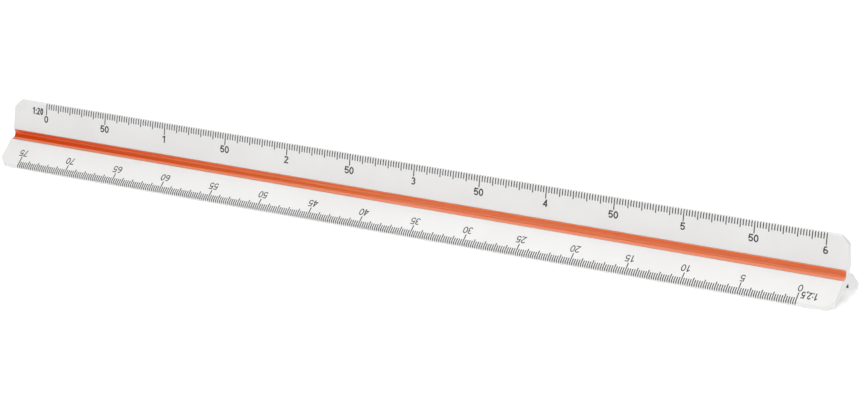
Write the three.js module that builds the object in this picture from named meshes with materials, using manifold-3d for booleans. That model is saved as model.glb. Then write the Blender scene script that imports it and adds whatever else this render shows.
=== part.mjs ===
// Triangular scale ruler, 30 cm, resting on two of its three wing edges.
// Millimetres, +X along the ruler, +Z up. The origin is the middle of the footprint, at the height of
// the surface that the two lower wing edges rest on.

import * as THREE from 'three';
import Module from 'manifold-3d';
import { mergeVertices } from 'three/addons/utils/BufferGeometryUtils.js';

// ---------------------------------------------------------------- driving dimensions

const LENGTH = 321.3; // 300 mm of graduations and a margin at each end
const WING_COUNT = 3;
const WING_REACH = 14.6; // ruler's axis to the crown of a wing edge
const EDGE_RADIUS = 0.9; // rounding of a wing edge

const GROOVE_WIDTH = 3.65; // between the two faces that a groove separates
const GROOVE_DISTANCE = 3.87; // ruler's axis to the mouth of a groove
const STRIP_RIM = 0.25; // width of the strip's rim on each side of its hollow
const STRIP_HOLLOW_DEPTH = 1.26; // mouth of the groove to the bottom of the strip's hollow
const STRIP_BACK_DEPTH = 1.76; // mouth of the groove to the deepest point of the strip's back
// Each strip's ends to the end faces of the body, at the -X and at the +X end.
const FRONT_STRIP_SETBACKS = [0.4, 0.05];
const BOTTOM_STRIP_SETBACKS = [0.4, 0.4];
const BACK_STRIP_SETBACKS = [1.2, 1.2];
const GAP = 0.25; // between a strip and its channel

const CORNER_CUT = 2.8; // wing corner cut off at 45 degrees, measured along the ruler
const CORNER_ROUNDING = 1.2; // radius where the cut meets the edge and the end face

const ARC_SEGMENTS = 9;

// ---------------------------------------------------------------- derived dimensions

const EDGE_CENTRE = WING_REACH - EDGE_RADIUS;
const WING_STEP = (2 * Math.PI) / WING_COUNT;
const AXIS_HEIGHT = EDGE_CENTRE * Math.sin(Math.PI / 6) + EDGE_RADIUS;

// ---------------------------------------------------------------- small helpers

// A point given by its distance along a direction at an angle, and its offset to the left of it.
function polar(angle, along, aside) {
  return new THREE.Vector2(
    along * Math.cos(angle) - aside * Math.sin(angle),
    along * Math.sin(angle) + aside * Math.cos(angle),
  );
}

function wingAngle(index) {
  return Math.PI / 2 + index * WING_STEP;
}

function grooveAngle(index) {
  return wingAngle(index) + WING_STEP / 2;
}

// The arc through (distance, -halfWidth) and (distance, halfWidth) that dips by depth towards the axis.
function dippingArc(distance, halfWidth, depth) {
  const radius = (halfWidth ** 2 + depth ** 2) / (2 * depth);
  const centre = distance - depth + radius;
  const halfSweep = Math.atan2(halfWidth, centre - distance);
  return { radius, centre, halfSweep };
}

// Continues a shape along a dipping arc: clockwise as the floor of a channel in an outline that runs
// anticlockwise, or back the other way.
function addDippingArc(shape, angle, arc, clockwise) {
  const centre = polar(angle, arc.centre, 0);
  const middle = angle + Math.PI;
  const halfSweep = clockwise ? arc.halfSweep : -arc.halfSweep;
  shape.absarc(centre.x, centre.y, arc.radius, middle + halfSweep, middle - halfSweep, clockwise);
}

// Turns a section drawn in (Y, Z) and extruded along its own Z into a bar that runs along +X.
const ALONG_RULER = new THREE.Matrix4().makeBasis(
  new THREE.Vector3(0, 1, 0),
  new THREE.Vector3(0, 0, 1),
  new THREE.Vector3(1, 0, 0),
);

function barAlongRuler(shape, length) {
  const options = { depth: length, bevelEnabled: false, curveSegments: ARC_SEGMENTS };
  const bar = new THREE.ExtrudeGeometry(shape, options);
  bar.translate(0, 0, -length / 2);
  return bar.applyMatrix4(ALONG_RULER);
}

// ---------------------------------------------------------------- section of the body

// Where a face meets the mouth of the groove, in a wing's own directions: out along the wing, and aside.
const LIP = polar(Math.PI / 3, GROOVE_DISTANCE, -GROOVE_WIDTH / 2);

// A face runs straight from its lip and meets the rounded edge as a tangent.
const LIP_TO_EDGE = new THREE.Vector2(LIP.x - EDGE_CENTRE, LIP.y);
const EDGE_HALF_SWEEP = LIP_TO_EDGE.angle() - Math.acos(EDGE_RADIUS / LIP_TO_EDGE.length());
const FACE_END = new THREE.Vector2(
  EDGE_CENTRE + EDGE_RADIUS * Math.cos(EDGE_HALF_SWEEP),
  EDGE_RADIUS * Math.sin(EDGE_HALF_SWEEP),
);

// The channel for a strip opens on the faces, a gap away from the strip.
const FACE_DIRECTION = FACE_END.clone().sub(LIP).normalize();
const CHANNEL_LIP = LIP.clone().addScaledVector(FACE_DIRECTION, GAP);

function channelArc() {
  const lipFromGroove = polar(-Math.PI / 3, CHANNEL_LIP.x, CHANNEL_LIP.y);
  const floor = GROOVE_DISTANCE - STRIP_BACK_DEPTH - GAP;
  return dippingArc(lipFromGroove.x, Math.abs(lipFromGroove.y), lipFromGroove.x - floor);
}

function bodySection() {
  const section = new THREE.Shape();
  const channel = channelArc();
  const start = polar(wingAngle(0), CHANNEL_LIP.x, -CHANNEL_LIP.y);
  section.moveTo(start.x, start.y);
  for (let wing = 0; wing < WING_COUNT; wing += 1) {
    const angle = wingAngle(wing);
    const crown = polar(angle, EDGE_CENTRE, 0);
    section.absarc(
      crown.x,
      crown.y,
      EDGE_RADIUS,
      angle - EDGE_HALF_SWEEP,
      angle + EDGE_HALF_SWEEP,
      false,
    );
    addDippingArc(section, grooveAngle(wing), channel, true);
  }
  return section;
}

// ---------------------------------------------------------------- cut-off wing corners

// What is cut from a wing at the +X end: everything outside a 45 degree line whose two corners are
// rounded. It is drawn with the ruler's length across and the distance from the axis upwards.
function cornerWaste() {
  const end = LENGTH / 2;
  const clear = 2;
  const tangent = CORNER_ROUNDING * Math.tan(Math.PI / 8);
  const slope = tangent * Math.SQRT1_2;
  const waste = new THREE.Shape();
  waste.moveTo(end - CORNER_CUT - tangent, WING_REACH);
  waste.quadraticCurveTo(
    end - CORNER_CUT,
    WING_REACH,
    end - CORNER_CUT + slope,
    WING_REACH - slope,
  );
  waste.lineTo(end - slope, WING_REACH - CORNER_CUT + slope);
  waste.quadraticCurveTo(
    end,
    WING_REACH - CORNER_CUT,
    end,
    WING_REACH - CORNER_CUT - tangent,
  );
  waste.lineTo(end + clear, WING_REACH - CORNER_CUT - tangent);
  waste.lineTo(end + clear, WING_REACH + clear);
  waste.lineTo(end - CORNER_CUT - tangent, WING_REACH + clear);
  waste.closePath();
  return waste;
}

// The waste of one wing corner. Its outline's Y axis is turned out along the wing.
function cornerCutter(wing, endSign) {
  const thickness = 6;
  const options = { depth: thickness, bevelEnabled: false, curveSegments: 3 };
  const cutter = new THREE.ExtrudeGeometry(cornerWaste(), options);
  cutter.translate(0, 0, -thickness / 2);
  if (endSign < 0) {
    cutter.rotateY(Math.PI);
  }
  cutter.rotateX(wingAngle(wing));
  return cutter;
}

// ---------------------------------------------------------------- boolean cut

const wasm = await Module();
wasm.setup();

function toSolid(geometry) {
  const bare = geometry.clone();
  bare.deleteAttribute('normal');
  bare.deleteAttribute('uv');
  const merged = mergeVertices(bare, 1e-4);
  return new wasm.Manifold(
    new wasm.Mesh({
      numProp: 3,
      vertProperties: new Float32Array(merged.attributes.position.array),
      triVerts: new Uint32Array(merged.index.array),
    }),
  );
}

function toGeometry(solid) {
  const mesh = solid.getMesh();
  const geometry = new THREE.BufferGeometry();
  geometry.setAttribute('position', new THREE.BufferAttribute(mesh.vertProperties, mesh.numProp));
  geometry.setIndex(new THREE.BufferAttribute(mesh.triVerts, 1));
  geometry.computeVertexNormals();
  return geometry;
}

// ---------------------------------------------------------------- sub-parts

function scaleBody() {
  let solid = toSolid(barAlongRuler(bodySection(), LENGTH));
  for (let wing = 0; wing < WING_COUNT; wing += 1) {
    for (const endSign of [-1, 1]) {
      solid = solid.subtract(toSolid(cornerCutter(wing, endSign)));
    }
  }
  return toGeometry(solid);
}

// A strip is a hollow-faced liner: the back follows its channel, the front is the visible hollow, and a
// narrow rim joins the two on each side.
function stripSection(groove) {
  const angle = grooveAngle(groove);
  const halfWidth = GROOVE_WIDTH / 2;
  const back = dippingArc(GROOVE_DISTANCE, halfWidth, STRIP_BACK_DEPTH);
  const hollow = dippingArc(GROOVE_DISTANCE, halfWidth - STRIP_RIM, STRIP_HOLLOW_DEPTH);
  const section = new THREE.Shape();
  const start = polar(angle, GROOVE_DISTANCE, -halfWidth);
  section.moveTo(start.x, start.y);
  addDippingArc(section, angle, back, true);
  addDippingArc(section, angle, hollow, false);
  section.closePath();
  return section;
}

function grooveStrip(groove, setbacks) {
  const [atStart, atEnd] = setbacks;
  const strip = barAlongRuler(stripSection(groove), LENGTH - atStart - atEnd);
  return strip.translate((atStart - atEnd) / 2, 0, 0);
}

function plastic(color, roughness) {
  return new THREE.MeshStandardMaterial({ color, roughness, metalness: 0 });
}

function subPart(name, geometry, material) {
  const mesh = new THREE.Mesh(geometry, material);
  mesh.name = name;
  return mesh;
}

// ---------------------------------------------------------------- assembly

// Grooves are counted from the top wing, anticlockwise as seen from the +X end.
const STRIPS = [
  { name: 'front_groove_strip', groove: 0, color: 0xe07038, setbacks: FRONT_STRIP_SETBACKS },
  { name: 'bottom_groove_strip', groove: 1, color: 0x23252f, setbacks: BOTTOM_STRIP_SETBACKS },
  { name: 'back_groove_strip', groove: 2, color: 0x2f8f5b, setbacks: BACK_STRIP_SETBACKS },
];

const group = new THREE.Group();
group.position.z = AXIS_HEIGHT;
group.add(subPart('scale_body', scaleBody(), plastic(0xf2f2f0, 0.45)));
for (const strip of STRIPS) {
  const geometry = grooveStrip(strip.groove, strip.setbacks);
  group.add(subPart(strip.name, geometry, plastic(strip.color, 0.2)));
}

export default group;
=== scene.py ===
import math

import bmesh
import bpy
from mathutils import Matrix, Vector


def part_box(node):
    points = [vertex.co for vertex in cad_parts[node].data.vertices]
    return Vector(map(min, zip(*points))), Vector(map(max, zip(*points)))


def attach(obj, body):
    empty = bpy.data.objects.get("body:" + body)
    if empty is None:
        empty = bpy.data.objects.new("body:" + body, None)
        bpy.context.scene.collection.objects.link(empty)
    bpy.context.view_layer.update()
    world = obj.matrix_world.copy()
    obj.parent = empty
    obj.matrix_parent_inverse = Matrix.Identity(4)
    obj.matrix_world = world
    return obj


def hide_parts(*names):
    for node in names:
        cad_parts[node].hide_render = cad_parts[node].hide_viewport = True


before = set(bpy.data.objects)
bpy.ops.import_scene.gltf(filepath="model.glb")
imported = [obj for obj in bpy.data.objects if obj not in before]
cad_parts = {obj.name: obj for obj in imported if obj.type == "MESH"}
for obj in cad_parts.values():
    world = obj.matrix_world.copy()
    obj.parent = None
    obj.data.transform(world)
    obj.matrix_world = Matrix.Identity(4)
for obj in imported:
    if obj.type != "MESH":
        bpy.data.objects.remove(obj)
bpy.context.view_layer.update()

# A three-winged scale ruler on a pale floor. The row frame runs +X along the ruler and +Z up through the
# top wing. Sections are drawn in millimetres in a wing's own directions: out along the wing from the
# ruler's axis, and aside from the wing's middle plane, anticlockwise as seen from the +X end. A groove
# goes by the number of the wing before it in that direction.

MM = 0.001

# ---------------------------------------------------------------- measures of the ruler, in millimetres

_, BODY_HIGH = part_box("scale_body")
HALF_LENGTH = BODY_HIGH.x / MM

# Two wings slope down at 30 degrees and rest on their rounded edges, so the body is one and a half wings
# and half an edge radius high.
EDGE_RADIUS = 0.9
WING_REACH = (BODY_HIGH.z / MM - EDGE_RADIUS / 2) / 1.5
EDGE_CENTRE = WING_REACH - EDGE_RADIUS
AXIS_HEIGHT = BODY_HIGH.z / MM - WING_REACH

# Depths are taken from the mouth of a groove, and its distance from the ruler's axis.
GROOVE_WIDTH = 3.65
GROOVE_DISTANCE = 3.87
CHANNEL_DEPTH = 1.78
STRIP_BACK_DEPTH = 1.76
STRIP_HOLLOW_DEPTH = 1.26
STRIP_CLEARANCE = 0.1
STRIP_RIM = 0.17
RIM_ROUNDING = 0.06
STRIP_END_BEVEL = 0.05

# A wing's corner is cut off at 45 degrees. Its edge has a smaller rounding along the cut, and takes it on
# over CUT_EDGE_CHANGE below the crown.
CORNER_CUT = 2.8
CORNER_ROUNDING = 1.2
CUT_EDGE_ROUNDING = 0.45
CUT_EDGE_CHANGE = 0.8
LEAST_ROUNDING = 0.15
END_BEVEL = 0.22
LIP_ROUNDING = 0.1

# Width of the narrow row of faces that keeps a rounding's shading off the flat beside it.
SUPPORT = 0.06

WING_STEP = math.radians(120)
TOP, FRONT, BACK = 0, 1, 2


def wing_angle(wing):
    return math.radians(90) + wing * WING_STEP


def groove_angle(groove):
    return wing_angle(groove) + WING_STEP / 2


def polar(angle, out, aside):
    """A point of a section, (y, z) from the ruler's axis, from its place along a direction."""
    return (
        out * math.cos(angle) - aside * math.sin(angle),
        out * math.sin(angle) + aside * math.cos(angle),
    )


def dipping_arc(half_width, depth):
    """Radius, centre distance and half sweep of a groove's arc through its two lips."""
    radius = (half_width**2 + depth**2) / (2 * depth)
    centre = GROOVE_DISTANCE - depth + radius
    return radius, centre, math.atan2(half_width, centre - GROOVE_DISTANCE)


# The flat face of a wing, from the lip of the groove to where the rounded edge begins.
LIP = Vector(polar(WING_STEP / 2, GROOVE_DISTANCE, -GROOVE_WIDTH / 2))
EDGE_TO_LIP = LIP - Vector((EDGE_CENTRE, 0))
FACE_SWEEP = math.atan2(EDGE_TO_LIP.y, EDGE_TO_LIP.x) - math.acos(EDGE_RADIUS / EDGE_TO_LIP.length)
FACE_NORMAL = Vector((math.cos(FACE_SWEEP), math.sin(FACE_SWEEP)))
FACE_DIRECTION = Vector((FACE_NORMAL.y, -FACE_NORMAL.x))
FACE_OFFSET = FACE_NORMAL.dot(LIP)


def face_aside(out):
    """How far a face stands from the wing's middle plane at a distance out along the wing."""
    return (FACE_OFFSET - FACE_NORMAL.x * out) / FACE_NORMAL.y


# ---------------------------------------------------------------- camera

# The camera looks at a point beside the middle of the ruler's axis. Its lengths are in millimetres.
CAMERA_AZIMUTH = math.radians(27.70)
CAMERA_ELEVATION = math.radians(18.17)
CAMERA_ROLL = math.radians(0.40)
CAMERA_DISTANCE = 1139.2
CAMERA_LENS = 139.3
AIM_RIGHT = 7.85
AIM_UP = -0.72


def make_camera():
    az, el, roll = CAMERA_AZIMUTH, CAMERA_ELEVATION, CAMERA_ROLL
    back = Vector((math.sin(az) * math.cos(el), -math.cos(az) * math.cos(el), math.sin(el)))
    level = Vector((math.cos(az), math.sin(az), 0))
    upright = back.cross(level)
    right = math.cos(roll) * level + math.sin(roll) * upright
    up = back.cross(right)
    aim = Vector((0, 0, AXIS_HEIGHT)) + right * AIM_RIGHT + up * AIM_UP
    data = bpy.data.cameras.new("camera")
    data.sensor_width = 36
    data.lens = CAMERA_LENS
    data.clip_start = 0.05
    data.clip_end = 50
    camera = bpy.data.objects.new("camera", data)
    turn = Matrix((right, up, back)).transposed().to_4x4()
    camera.matrix_world = Matrix.Translation((aim + back * CAMERA_DISTANCE) * MM) @ turn
    bpy.context.scene.collection.objects.link(camera)
    bpy.context.scene.camera = camera


# ---------------------------------------------------------------- node materials

# Sockets of a mix node that mixes colours.
MIX_FACTOR, MIX_FIRST, MIX_SECOND, MIX_RESULT = 0, 6, 7, 2

# How far in from the crown of a wing edge the smudges reach.
SMUDGED_EDGE = 0.8

# Where a strip's painted sheen begins and is full, along the ruler from its middle. The paler colour
# towards +X is painted reflection, standing in for the light the strip catches at that end.
SHEEN_START, SHEEN_END = -150, -30

# Painted highlights along a strip: pale bands by its rims, standing in for the light they catch. Where one
# begins and is full, aside from the groove's middle, and its strength.
RIM_SHEEN_BANDS = ((0.6, 1.0, 0.85), (-1.3, -1.6, 0.4))

# The floor gives off some light of its own, so it stays white around the ruler.
FLOOR_GLOW = 0.33


def start_material(name):
    material = bpy.data.materials.new(name)
    material.use_nodes = True
    nodes = material.node_tree.nodes
    return material, nodes, material.node_tree.links, nodes["Principled BSDF"]


def object_place(nodes, links, stretch):
    """Object coordinates in millimetres, divided along each axis by the stretch given."""
    coordinates = nodes.new("ShaderNodeTexCoord")
    mapping = nodes.new("ShaderNodeMapping")
    mapping.inputs["Scale"].default_value = [1 / (MM * s) for s in stretch]
    links.new(coordinates.outputs["Object"], mapping.inputs["Vector"])
    return mapping.outputs["Vector"]


def noise(nodes, links, place, scale, detail, roughness=0.55):
    texture = nodes.new("ShaderNodeTexNoise")
    texture.inputs["Scale"].default_value = scale
    texture.inputs["Detail"].default_value = detail
    texture.inputs["Roughness"].default_value = roughness
    links.new(place, texture.inputs["Vector"])
    return texture.outputs["Fac"]


def spread(nodes, links, value, from_low, from_high, to_low, to_high):
    """Maps a value's range to another, clamped."""
    node = nodes.new("ShaderNodeMapRange")
    node.inputs["From Min"].default_value = from_low
    node.inputs["From Max"].default_value = from_high
    node.inputs["To Min"].default_value = to_low
    node.inputs["To Max"].default_value = to_high
    links.new(value, node.inputs["Value"])
    return node.outputs["Result"]


def blend_colours(nodes, links, factor, first, second):
    mix = nodes.new("ShaderNodeMix")
    mix.data_type = "RGBA"
    for socket, value in ((mix.inputs[MIX_FIRST], first), (mix.inputs[MIX_SECOND], second)):
        if isinstance(value, tuple):
            socket.default_value = (*value, 1)
        else:
            links.new(value, socket)
    links.new(factor, mix.inputs[MIX_FACTOR])
    return mix.outputs[MIX_RESULT]


def add_bump(nodes, links, shader, heights):
    """Chains bumps, each a (height, distance in millimetres, strength)."""
    normal = None
    for height, distance, strength in heights:
        bump = nodes.new("ShaderNodeBump")
        bump.inputs["Distance"].default_value = distance * MM
        bump.inputs["Strength"].default_value = strength
        links.new(height, bump.inputs["Height"])
        if normal is not None:
            links.new(normal, bump.inputs["Normal"])
        normal = bump.outputs["Normal"]
    links.new(normal, shader.inputs["Normal"])


def distance_from_axis(nodes, links):
    """How far a point of the ruler is from its axis, in millimetres."""
    coordinates = nodes.new("ShaderNodeTexCoord")
    mapping = nodes.new("ShaderNodeMapping")
    mapping.inputs["Location"].default_value = (0, 0, -AXIS_HEIGHT)
    mapping.inputs["Scale"].default_value = (0, 1 / MM, 1 / MM)
    length = nodes.new("ShaderNodeVectorMath")
    length.operation = "LENGTH"
    links.new(coordinates.outputs["Object"], mapping.inputs["Vector"])
    links.new(mapping.outputs["Vector"], length.inputs[0])
    return length.outputs["Value"]


def white_plastic():
    """Satin extruded plastic with fine drawing lines, clouding, and smudges along the wing edges."""
    material, nodes, links, shader = start_material("white_plastic")
    even = object_place(nodes, links, (1, 1, 1))
    drawn = object_place(nodes, links, (40, 1, 1))
    clouds = spread(nodes, links, noise(nodes, links, even, 0.05, 3), 0.35, 0.65, 0, 1)
    streaks = noise(nodes, links, drawn, 1.6, 5)
    grain = noise(nodes, links, even, 9, 3)
    body = blend_colours(nodes, links, clouds, (0.80, 0.795, 0.785), (0.83, 0.828, 0.822))
    smudges = spread(nodes, links, noise(nodes, links, even, 0.9, 5, 0.7), 0.56, 0.72, 0, 1)
    reach = distance_from_axis(nodes, links)
    crown = spread(nodes, links, reach, WING_REACH - SMUDGED_EDGE, WING_REACH, 0, 0.5)
    wear = nodes.new("ShaderNodeMath")
    wear.operation = "MULTIPLY"
    links.new(smudges, wear.inputs[0])
    links.new(crown, wear.inputs[1])
    colour = blend_colours(nodes, links, wear.outputs[0], body, (0.66, 0.65, 0.63))
    links.new(colour, shader.inputs["Base Color"])
    links.new(spread(nodes, links, streaks, 0.3, 0.7, 0.34, 0.48), shader.inputs["Roughness"])
    shader.inputs["IOR"].default_value = 1.5
    add_bump(nodes, links, shader, [(streaks, 0.01, 0.25), (grain, 0.006, 0.25)])
    return material


def place_across(nodes, links, groove):
    """How far a point of a strip is to one side of its groove's middle plane, in millimetres."""
    coordinates = nodes.new("ShaderNodeTexCoord")
    mapping = nodes.new("ShaderNodeMapping")
    mapping.inputs["Location"].default_value = (0, 0, -AXIS_HEIGHT)
    mapping.inputs["Scale"].default_value = (1 / MM, 1 / MM, 1 / MM)
    across = nodes.new("ShaderNodeVectorMath")
    across.operation = "DOT_PRODUCT"
    across.inputs[1].default_value = (0, *polar(groove_angle(groove), 0, 1))
    links.new(coordinates.outputs["Object"], mapping.inputs["Vector"])
    links.new(mapping.outputs["Vector"], across.inputs[0])
    return across.outputs["Value"]


def place_along(nodes, links):
    """How far along the ruler a point is, in millimetres from its middle."""
    coordinates = nodes.new("ShaderNodeTexCoord")
    parts = nodes.new("ShaderNodeSeparateXYZ")
    links.new(coordinates.outputs["Object"], parts.inputs["Vector"])
    along = nodes.new("ShaderNodeMath")
    along.operation = "DIVIDE"
    along.inputs[1].default_value = MM
    links.new(parts.outputs["X"], along.inputs[0])
    return along.outputs[0]


def strip_plastic(name, groove, deep, sheen_colour, rim_sheen):
    """Glossy extruded plastic: deep at one end, with a painted reflection that pales it towards the other,
    and painted highlights along its rims.
    """
    material, nodes, links, shader = start_material(name)
    streaks = noise(nodes, links, object_place(nodes, links, (250, 1, 1)), 1.7, 3)
    scuffs = noise(nodes, links, object_place(nodes, links, (6, 1, 1)), 1.1, 5, 0.7)
    waves = noise(nodes, links, object_place(nodes, links, (1, 1, 1)), 0.25, 2)
    # Painted reflection: the deep colour is blended towards a paler one along +X.
    sheen_share = spread(nodes, links, place_along(nodes, links), SHEEN_START, SHEEN_END, 0, 1)
    colour = blend_colours(nodes, links, sheen_share, deep, sheen_colour)
    grain = spread(nodes, links, streaks, 0.38, 0.62, 0, 0.5)
    colour = blend_colours(nodes, links, grain, colour, deep)
    across = place_across(nodes, links, groove)
    # Painted highlights: paler colour in bands along both rims.
    for begins, full, strength in RIM_SHEEN_BANDS:
        rim_sheen_share = spread(nodes, links, across, begins, full, 0, strength)
        colour = blend_colours(nodes, links, rim_sheen_share, colour, rim_sheen)
    links.new(colour, shader.inputs["Base Color"])
    links.new(spread(nodes, links, scuffs, 0.35, 0.7, 0.08, 0.14), shader.inputs["Roughness"])
    shader.inputs["IOR"].default_value = 1.45
    add_bump(nodes, links, shader, [(streaks, 0.004, 0.15), (waves, 0.012, 0.2)])
    return material


def printing_ink():
    """Matt black ink of uneven density."""
    material, nodes, links, shader = start_material("printing_ink")
    even = object_place(nodes, links, (1, 1, 1))
    density = spread(nodes, links, noise(nodes, links, even, 5, 5, 0.7), 0.35, 0.65, 0, 1)
    colour = blend_colours(nodes, links, density, (0.022, 0.022, 0.024), (0.05, 0.049, 0.05))
    links.new(colour, shader.inputs["Base Color"])
    links.new(spread(nodes, links, density, 0, 1, 0.45, 0.6), shader.inputs["Roughness"])
    add_bump(nodes, links, shader, [(density, 0.004, 0.3)])
    return material


def pale_floor():
    """A plain, matt and almost white ground."""
    material, nodes, links, shader = start_material("pale_floor")
    place = object_place(nodes, links, (1, 1, 1))
    clouds = noise(nodes, links, place, 0.01, 4)
    share = spread(nodes, links, clouds, 0.3, 0.7, 0, 1)
    colour = blend_colours(nodes, links, share, (0.93, 0.93, 0.93), (0.95, 0.95, 0.95))
    links.new(colour, shader.inputs["Base Color"])
    shader.inputs["Roughness"].default_value = 0.9
    shader.inputs["Specular IOR Level"].default_value = 0.1
    shader.inputs["Emission Color"].default_value = (1, 1, 1, 1)
    shader.inputs["Emission Strength"].default_value = FLOOR_GLOW
    add_bump(nodes, links, shader, [(noise(nodes, links, place, 0.6, 3), 0.02, 0.1)])
    return material


# ---------------------------------------------------------------- mesh helpers

# Faces that meet at more than SHARP_ANGLE show an edge. Corners nearer than MERGE_DISTANCE become one.
SHARP_ANGLE = math.radians(32)
MERGE_DISTANCE = 0.0005


def make_object(name, bm, material, smooth=True):
    bmesh.ops.remove_doubles(bm, verts=bm.verts, dist=MERGE_DISTANCE * MM)
    bmesh.ops.recalc_face_normals(bm, faces=bm.faces)
    for face in bm.faces:
        face.smooth = smooth
    for edge in bm.edges:
        edge.smooth = edge.calc_face_angle(0) < SHARP_ANGLE
    mesh = bpy.data.meshes.new(name)
    bm.to_mesh(mesh)
    bm.free()
    mesh.materials.append(material)
    piece = bpy.data.objects.new(name, mesh)
    bpy.context.scene.collection.objects.link(piece)
    return piece


def finish_piece(piece, slot, *nodes):
    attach(piece, "root")
    if nodes:
        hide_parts(*nodes)


def row_point(x, section_point):
    return Vector((x, section_point[0], section_point[1] + AXIS_HEIGHT)) * MM


def loft(rings):
    """A closed body through rings of (x, section), with a face at each end."""
    bm = bmesh.new()
    rows = [[bm.verts.new(row_point(x, p)) for p in section] for x, section in rings]
    count = len(rows[0])
    for first, second in zip(rows, rows[1:]):
        for i in range(count):
            j = (i + 1) % count
            bm.faces.new((first[i], first[j], second[j], second[i]))
    bm.faces.new(rows[0])
    bm.faces.new(list(reversed(rows[-1])))
    return bm


def curve_points(first, corner, last, steps):
    """A rounded corner, from first to last, pulled towards corner."""
    points = []
    for i in range(steps + 1):
        t = i / steps
        points.append(first * (1 - t) ** 2 + corner * 2 * t * (1 - t) + last * t * t)
    return points


# ---------------------------------------------------------------- white body

EDGE_STEPS = 8
LIP_STEPS = 4
CHANNEL_STEPS = 18

# Where the rounding of a corner cut ends, both in from the end face and down from the crown.
CUT_END = CORNER_CUT + CORNER_ROUNDING * math.tan(math.radians(22.5))


def half_wing(reach, rounding, inset):
    """One side of a wing, from its lip to its crown, as points (out, aside)."""
    face_offset = FACE_OFFSET - inset
    reach -= inset
    rounding = max(rounding - inset, LEAST_ROUNDING)
    radius, centre, _ = dipping_arc(GROOVE_WIDTH / 2, CHANNEL_DEPTH)
    groove = Vector(polar(WING_STEP / 2, centre, 0))
    # The channel's arc widens with the inset, and meets the face a little further out.
    from_groove = FACE_NORMAL.dot(groove) - face_offset
    channel = radius + inset
    lip = groove - FACE_NORMAL * from_groove + FACE_DIRECTION * math.sqrt(channel**2 - from_groove**2)
    into_angle = math.atan2(lip.y - groove.y, lip.x - groove.x) - LIP_ROUNDING / channel
    into_channel = groove + channel * Vector((math.cos(into_angle), math.sin(into_angle)))
    points = curve_points(into_channel, lip, lip + FACE_DIRECTION * LIP_ROUNDING, LIP_STEPS)
    corner_out = reach - rounding
    corner_aside = (face_offset - rounding - FACE_NORMAL.x * corner_out) / FACE_NORMAL.y
    corner = Vector((corner_out, corner_aside))
    edge_start = corner + FACE_NORMAL * rounding
    points.append(lip + FACE_DIRECTION * (LIP_ROUNDING + SUPPORT))
    points.append(edge_start - FACE_DIRECTION * SUPPORT)
    for i in range(EDGE_STEPS + 1):
        angle = FACE_SWEEP * (1 - i / EDGE_STEPS)
        points.append(corner + rounding * Vector((math.cos(angle), math.sin(angle))))
    return points


def body_section(reach, rounding, inset):
    """The whole section, anticlockwise as seen from the +X end."""
    half = half_wing(reach, rounding, inset)
    radius, centre, _ = dipping_arc(GROOVE_WIDTH / 2, CHANNEL_DEPTH)
    points = []
    for wing in (TOP, FRONT, BACK):
        angle = wing_angle(wing)
        points += [polar(angle, p.x, -p.y) for p in half]
        points += [polar(angle, p.x, p.y) for p in reversed(half)]
        inwards = groove_angle(wing) + math.pi
        middle = Vector(polar(groove_angle(wing), centre, 0))
        start = Vector(points[-1]) - middle
        half_sweep = (math.atan2(start.y, start.x) - inwards) % (2 * math.pi)
        for i in range(1, CHANNEL_STEPS):
            turn = inwards + half_sweep * (1 - 2 * i / CHANNEL_STEPS)
            floor = middle + (radius + inset) * Vector((math.cos(turn), math.sin(turn)))
            points.append((floor.x, floor.y))
    return points


def reach_at(depth):
    """How far a wing reaches at a distance in from the end face, along its rounded corner cut."""
    low_end = CORNER_ROUNDING * (1 - math.sqrt(0.5))
    high_start = CUT_END - CORNER_ROUNDING * math.sqrt(0.5)
    if depth < low_end:
        rise = math.sqrt(CORNER_ROUNDING**2 - (CORNER_ROUNDING - depth) ** 2)
        return WING_REACH - CUT_END + rise
    if depth < high_start:
        return WING_REACH - CORNER_CUT + depth
    if depth < CUT_END:
        rise = math.sqrt(CORNER_ROUNDING**2 - (CUT_END - depth) ** 2)
        return WING_REACH - CORNER_ROUNDING + rise
    return WING_REACH


def end_depths():
    """Distances in from an end face at which the body has a section."""
    bevel = [END_BEVEL * (1 - math.cos(math.radians(a))) for a in (0, 22.5, 45, 67.5, 90)]
    low_arc = [CORNER_ROUNDING * (1 - math.cos(math.radians(a))) for a in (36, 45)]
    line = [CORNER_CUT * share for share in (0.2, 0.45, 0.7)]
    high_arc = [CUT_END - CORNER_ROUNDING * math.sin(math.radians(a)) for a in range(45, -1, -9)]
    return bevel + low_arc + line + high_arc + [CUT_END + SUPPORT]


def body_ring(depth):
    """The body's section at a distance in from an end face."""
    reach = reach_at(depth)
    cut_share = min((WING_REACH - reach) / CUT_EDGE_CHANGE, 1)
    rounding = EDGE_RADIUS + (CUT_EDGE_ROUNDING - EDGE_RADIUS) * cut_share
    inset = 0.0
    if depth < END_BEVEL:
        inset = END_BEVEL - math.sqrt(END_BEVEL**2 - (END_BEVEL - depth) ** 2)
    return body_section(reach, rounding, inset)


def make_body(material):
    depths = end_depths()
    rings = [(-HALF_LENGTH + d, body_ring(d)) for d in depths]
    rings += [(HALF_LENGTH - d, body_ring(d)) for d in reversed(depths)]
    finish_piece(make_object("white_body", loft(rings), material), "white_plastic", "scale_body")


# ---------------------------------------------------------------- groove strips

HOLLOW_STEPS = 28
BACK_STEPS = 18
RIM_STEPS = 3


def arc_points(half_width, depth, inset, direction, steps):
    """Points (out, aside) along a dipping arc whose radius is changed by the inset."""
    radius, centre, sweep = dipping_arc(half_width, depth)
    points = []
    for i in range(steps + 1):
        turn = math.pi + direction * sweep * (1 - 2 * i / steps)
        spoke = Vector((math.cos(turn), math.sin(turn)))
        points.append(Vector((centre, 0)) + (radius + inset) * spoke)
    return points


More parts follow.
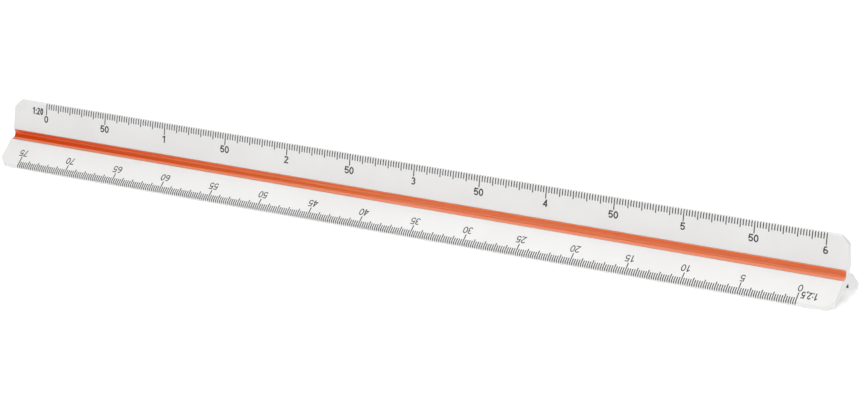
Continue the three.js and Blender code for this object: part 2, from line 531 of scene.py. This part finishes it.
def strip_section(groove, inset):
    """The round back of a strip, and then its hollow front between two rounded rims."""
    half_width = GROOVE_WIDTH / 2 - STRIP_CLEARANCE
    back = arc_points(half_width, STRIP_BACK_DEPTH, -inset, 1, BACK_STEPS)
    for tip in (back[0], back[-1]):
        tip.x -= inset
    hollow = arc_points(half_width - STRIP_RIM, STRIP_HOLLOW_DEPTH, inset, -1, HOLLOW_STEPS)
    rim_out = GROOVE_DISTANCE - inset
    first, last = hollow[0], hollow[-1]
    into_first = (hollow[1] - first).normalized() * RIM_ROUNDING
    into_last = (hollow[-2] - last).normalized() * RIM_ROUNDING
    far_corner = Vector((rim_out, first.y))
    near_corner = Vector((rim_out, last.y))
    aside = Vector((0, RIM_ROUNDING))
    hollow[:1] = curve_points(far_corner + aside, far_corner, first + into_first, RIM_STEPS)
    hollow[-1:] = curve_points(last + into_last, near_corner, near_corner - aside, RIM_STEPS)
    return [polar(groove_angle(groove), p.x, p.y) for p in back + hollow]


def make_strip(name, node, slot, groove, material):
    """A strip as long as its CAD node, with a small bevel round both of its ends."""
    low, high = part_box(node)
    rings = []
    for tip, inwards in ((low.x / MM, 1), (high.x / MM, -1)):
        ring = []
        for turn in (math.radians(a) for a in (0, 30, 60, 90)):
            depth = STRIP_END_BEVEL * (1 - math.cos(turn))
            inset = STRIP_END_BEVEL * (1 - math.sin(turn))
            ring.append((tip + inwards * depth, strip_section(groove, inset)))
        rings += ring if inwards > 0 else list(reversed(ring))
    finish_piece(make_object(name, loft(rings), material), slot, node)


# ---------------------------------------------------------------- printed scales

# Ink is sunk into a face and stands a little proud of it.
INK_PROUD = 0.012
INK_SUNK = 0.03
STROKE_LAYER = 0.001
TICK_WIDTH = 0.37
TICK_TURN_STEPS = 5
SCALE_LENGTH = 300.0


def add_ribbon(bm, rows, closed=False):
    """A thin solid through rows of four corners."""
    rows = [[bm.verts.new(corner) for corner in row] for row in rows]
    pairs = list(zip(rows, rows[1:]))
    if closed:
        pairs.append((rows[-1], rows[0]))
    for first, second in pairs:
        for i in range(4):
            j = (i + 1) % 4
            bm.faces.new((first[i], first[j], second[j], second[i]))
    if not closed:
        bm.faces.new(rows[0])
        bm.faces.new(list(reversed(rows[-1])))


def tick_path(start_turn, end_out):
    """The line of a tick on one side of a wing: round the edge, and then down the face."""
    path = []
    for i in range(TICK_TURN_STEPS + 1):
        turn = start_turn + (FACE_SWEEP - start_turn) * i / TICK_TURN_STEPS
        normal = Vector((math.cos(turn), math.sin(turn)))
        path.append((Vector((EDGE_CENTRE, 0)) + normal * EDGE_RADIUS, normal))
    path.append((Vector((end_out, face_aside(end_out))), FACE_NORMAL))
    return path


def add_tick(bm, angle, side, x, path):
    """A ribbon of ink along a tick's path, on one side of the wing at an angle."""
    rows = []
    for point, normal in path:
        above = point + normal * INK_PROUD
        below = point - normal * INK_SUNK
        row = []
        for place, shift in ((above, -0.5), (above, 0.5), (below, 0.5), (below, -0.5)):
            section_point = polar(angle, place.x, side * place.y)
            row.append(row_point(x + shift * TICK_WIDTH, section_point))
        rows.append(row)
    add_ribbon(bm, rows)


# A numeral is drawn as strokes in a box with a height of 1, and then scaled. MARK_SHARE is the width of
# a colon or comma as a share of a digit's. The heights are those of the waist of a 3, 6, 8 or 9, of the
# middles of the hook of a 2 and the belly of a 5, and of the bar of a 4.
LETTER_GAP = 0.06
MARK_SHARE = 0.4
WAIST = 0.53
HOOK_MIDDLE = 0.72
BELLY_MIDDLE = 0.34
BAR_HEIGHT = 0.28

# Degrees between the points of a bend, the least cosine that a mitre is worked out from, and the
# distance within which the two ends of a stroke count as joined.
BEND_STEP = 15
MITRE_LIMIT = 0.5
JOINED = 1e-6


def bend(centre, radii, first, last):
    """Points along an ellipse, from one angle in degrees to another."""
    steps = max(3, round(abs(last - first) / BEND_STEP))
    turns = [math.radians(first + (last - first) * i / steps) for i in range(steps + 1)]
    return [(centre[0] + radii[0] * math.cos(t), centre[1] + radii[1] * math.sin(t)) for t in turns]


def digit_strokes(width, half):
    """Middle lines of every digit's strokes, for a digit's width and a stroke's half width."""
    middle = width / 2
    left, right, top = half, width - half, 1 - half
    tall = ((middle, 0.5), (right - middle, top - 0.5))
    bowl = ((middle, (WAIST + half) / 2), (right - middle, (WAIST - half) / 2))
    small_bowl = ((middle, (WAIST + top) / 2), (0.92 * (right - middle), (top - WAIST) / 2))
    hook = ((middle, HOOK_MIDDLE), (right - middle, top - HOOK_MIDDLE))
    belly = ((middle, BELLY_MIDDLE), (right - middle, BELLY_MIDDLE - half))
    stem = 0.62 * width
    post = 0.72 * width
    flag = [(0.93 * width, top), (0.24 * width, top), (0.15 * width, 0.5)]
    six = [bend(*bowl, 0, 360), bend(*tall, 55, 200)]
    return {
        "0": [bend(*tall, 0, 360)],
        "1": [[(stem, 0), (stem, 1)], [(0.12 * width, 0.75), (0.42 * width, 0.81), (stem, top)]],
        "2": [bend(*hook, 170, -38) + [(left, half), (width, half)]],
        "3": [bend(*small_bowl, 152, -90), bend(*bowl, 90, -150)],
        "4": [[(post, 0), (post, 1)], [(post, top), (left, BAR_HEIGHT), (width, BAR_HEIGHT)]],
        "5": [flag + bend(*belly, 135, -160)],
        "6": six,
        "7": [[(0, top), (right, top), (0.56 * width, 0.5), (0.38 * width, 0)]],
        "8": [bend(*small_bowl, 0, 360), bend(*bowl, 0, 360)],
        "9": [[(width - x, 1 - y) for x, y in stroke] for stroke in six],
    }


def mark_strokes(width, half):
    """Strokes of a colon and of a decimal comma."""
    middle = width / 2
    dot = 2.2 * half
    return {
        ":": [[(middle, low), (middle, low + dot)] for low in (0, 0.5)],
        ",": [[(middle, dot), (middle, 0), (middle - half, -1.6 * half)]],
    }


def stroke_sides(points, half, closed):
    """The two edges of a stroke, mitred where it turns."""
    count = len(points)
    sides = []
    for i, point in enumerate(points):
        out_of = (points[(i + 1) % count] - point).normalized()
        into = (point - points[i - 1]).normalized()
        if not closed and i == 0:
            into = out_of
        if not closed and i == count - 1:
            out_of = into
        normal = Vector((-(into + out_of).y, (into + out_of).x)).normalized()
        across = normal * half / max(normal.dot(Vector((-into.y, into.x))), MITRE_LIMIT)
        sides.append((point + across, point - across))
    return sides


def add_text(bm, text, width, half, height, to_row):
    """Adds a numeral as ribbons of ink, centred. Each stroke lies a layer above the last."""
    glyphs = {**digit_strokes(width, half), **mark_strokes(MARK_SHARE * width, half)}
    widths = [MARK_SHARE * width if char in ":," else width for char in text]
    pen = -(sum(widths) + LETTER_GAP * (len(text) - 1)) / 2
    for char, advance in zip(text, widths):
        for layer, stroke in enumerate(glyphs[char]):
            points = [Vector((pen + x, y - 0.5)) for x, y in stroke]
            closed = (points[0] - points[-1]).length < JOINED
            if closed:
                points.pop()
            proud = INK_PROUD + layer * STROKE_LAYER
            rows = []
            for one, other in stroke_sides(points, half, closed):
                corners = ((one, proud), (other, proud), (other, -INK_SUNK), (one, -INK_SUNK))
                rows.append([to_row(place * height, rise) for place, rise in corners])
            add_ribbon(bm, rows, closed)
        pen += advance + LETTER_GAP


def face_placer(angle, side, x, out):
    """Turns a place on a numeral, and its rise, into a point in the row frame. Its top points outwards."""
    foot = Vector((out, face_aside(out)))

    def to_row(place, rise):
        point = foot + FACE_DIRECTION * place.y + FACE_NORMAL * rise
        return row_point(x + side * place.x, polar(angle, point.x, side * point.y))

    return to_row


def tick_kind(index, layout):
    if index % layout["major_every"] == 0:
        return "major"
    if index % layout["medium_every"] == 0:
        return "medium"
    return "small"


def make_scale(name, wing, side, layout, material):
    """The ticks and numerals of one face. A scale reads towards +X on side 1, and -X on side -1."""
    angle = wing_angle(wing)
    zero = side * (layout["margin"] - HALF_LENGTH)
    paths = {key: tick_path(layout["start_turn"], layout[key]) for key in ("small", "medium", "major")}
    height = layout["digit_height"]
    ticks = bmesh.new()
    numerals = bmesh.new()
    for index in range(round(SCALE_LENGTH / layout["pitch"]) + 1):
        x = zero + side * index * layout["pitch"]
        kind = tick_kind(index, layout)
        add_tick(ticks, angle, side, x, paths[kind])
        if kind == "major":
            label = layout["label"](index // layout["major_every"])
            place = face_placer(angle, side, x, layout["digits"])
            add_text(numerals, label, layout["digit_width"], layout["stroke"] / 2, height, place)
    place = face_placer(angle, side, zero + side * layout["note_shift"], layout["note_place"])
    add_text(numerals, layout["note"], layout["note_width"], layout["note_stroke"] / 2, height, place)
    finish_piece(make_object(f"ticks_{name}", ticks, material, False), "printing_ink")
    finish_piece(make_object(f"numerals_{name}", numerals, material, False), "printing_ink")


def face_layout(note, pitch, medium_every, major_every, label, **changes):
    """How a face is printed. The note is its ratio, and label gives the numeral of a major tick.

    Ticks end, and numerals are centred, at distances from the ruler's axis. The margin is measured from
    the end face to the zero tick, and note_shift from the zero tick to the note. Ticks begin at
    start_turn round the wing edge. Widths and strokes are shares of digit_height.
    """
    base = {
        "note": note,
        "pitch": pitch,
        "medium_every": medium_every,
        "major_every": major_every,
        "label": label,
        "margin": 13.4,
        "start_turn": math.radians(30),
        "small": 12.4,
        "medium": 11.7,
        "major": 10.4,
        "digits": 8.85,
        "digit_height": 2.7,
        "digit_width": 0.6,
        "stroke": 0.16,
        "note_shift": -4.0,
        "note_place": 11.05,
        "note_width": 0.44,
        "note_stroke": 0.165,
    }
    return {**base, **changes}


def half_metres(count):
    return "50" if count % 2 else str(count // 2)


def five_centimetres(count):
    return str(5 * count)


def ten_centimetres(count):
    return str(10 * count)


# The wing, the side of it and the layout of each printed face.
SCALES = {
    "front_upper": (
        TOP,
        1,
        face_layout(
            "1:20", 1.0, 5, 25, half_metres,
            margin=13.85, start_turn=math.radians(38), digit_height=2.55, digit_width=0.67, stroke=0.18,
            note_shift=-3.8, note_place=11.35, note_width=0.475, note_stroke=0.185,
        ),
    ),
    "front_lower": (
        FRONT,
        -1,
        face_layout(
            "1:2,5", 0.8, 5, 25, five_centimetres,
            margin=12.85, start_turn=math.radians(9), digits=8.7, digit_width=0.605, stroke=0.135,
            note_shift=-3.9, note_width=0.5, note_stroke=0.155,
        ),
    ),
    "bottom_front": (FRONT, 1, face_layout("1:5", 1.0, 10, 20, ten_centimetres)),
    "bottom_back": (BACK, -1, face_layout("1:10", 1.0, 5, 10, ten_centimetres)),
    "back_lower": (BACK, 1, face_layout("1:50", 1.0, 10, 20, str)),
    "back_upper": (TOP, -1, face_layout("1:100", 1.0, 5, 10, str, note_shift=-4.6)),
}


# ---------------------------------------------------------------- floor and light, in metres

# The floor lies just below the ink on the two wing edges that the ruler rests on.
FLOOR_HALF = 4.0
FLOOR_HEIGHT = -0.00005
ROOM_GLOW = 0.08


def make_floor():
    bm = bmesh.new()
    corners = [(-FLOOR_HALF, -FLOOR_HALF), (FLOOR_HALF, -FLOOR_HALF)]
    corners += [(FLOOR_HALF, FLOOR_HALF), (-FLOOR_HALF, FLOOR_HALF)]
    bm.faces.new([bm.verts.new((x, y, FLOOR_HEIGHT)) for x, y in corners])
    floor = make_object("floor", bm, pale_floor())


def add_softbox(name, place, target, width, height, power):
    data = bpy.data.lights.new(name, "AREA")
    data.shape = "RECTANGLE"
    data.size = width
    data.size_y = height
    data.energy = power
    light = bpy.data.objects.new(name, data)
    light.location = place
    aim = Vector(target) - Vector(place)
    light.rotation_mode = "QUATERNION"
    light.rotation_quaternion = aim.to_track_quat("-Z", "Y")
    bpy.context.scene.collection.objects.link(light)


def make_lights():
    world = bpy.data.worlds.new("studio")
    bpy.context.scene.world = world
    world.use_nodes = True
    background = world.node_tree.nodes["Background"]
    background.inputs["Color"].default_value = (1, 1, 1, 1)
    background.inputs["Strength"].default_value = ROOM_GLOW
    add_softbox("overhead", (0, 0.15, 1.3), (0, 0, 0), width=2.0, height=1.2, power=17.0)
    add_softbox("key", (-0.02, -0.75, 0.62), (0, 0, 0), width=1.0, height=0.4, power=3.8)
    add_softbox("right_fill", (0.9, -0.25, 0.35), (0.16, 0, 0.01), width=0.5, height=0.5, power=1.2)


# ---------------------------------------------------------------- assembly

bpy.context.scene.view_settings.view_transform = "Standard"
bpy.context.scene.cycles.denoising_prefilter = "NONE"

# The material, the groove and the deep, painted sheen and painted rim highlight colours of each strip.
STRIPS = {
    "front": ("orange_plastic", TOP, (0.74, 0.072, 0.004), (0.80, 0.22, 0.068), (0.92, 0.36, 0.22)),
    "bottom": ("dark_plastic", FRONT, (0.014, 0.016, 0.026), (0.02, 0.023, 0.034), (0.04, 0.043, 0.055)),
    "back": ("green_plastic", BACK, (0.022, 0.22, 0.085), (0.03, 0.27, 0.11), (0.08, 0.34, 0.17)),
}

make_camera()
make_body(white_plastic())
for strip_place, (slot, groove, deep, sheen_colour, rim_sheen) in STRIPS.items():
    plastic = strip_plastic(slot, groove, deep, sheen_colour, rim_sheen)
    make_strip(f"{strip_place}_strip", f"{strip_place}_groove_strip", slot, groove, plastic)
ink = printing_ink()
for scale_name, (wing, side, layout) in SCALES.items():
    make_scale(scale_name, wing, side, layout, ink)
make_floor()
make_lights()
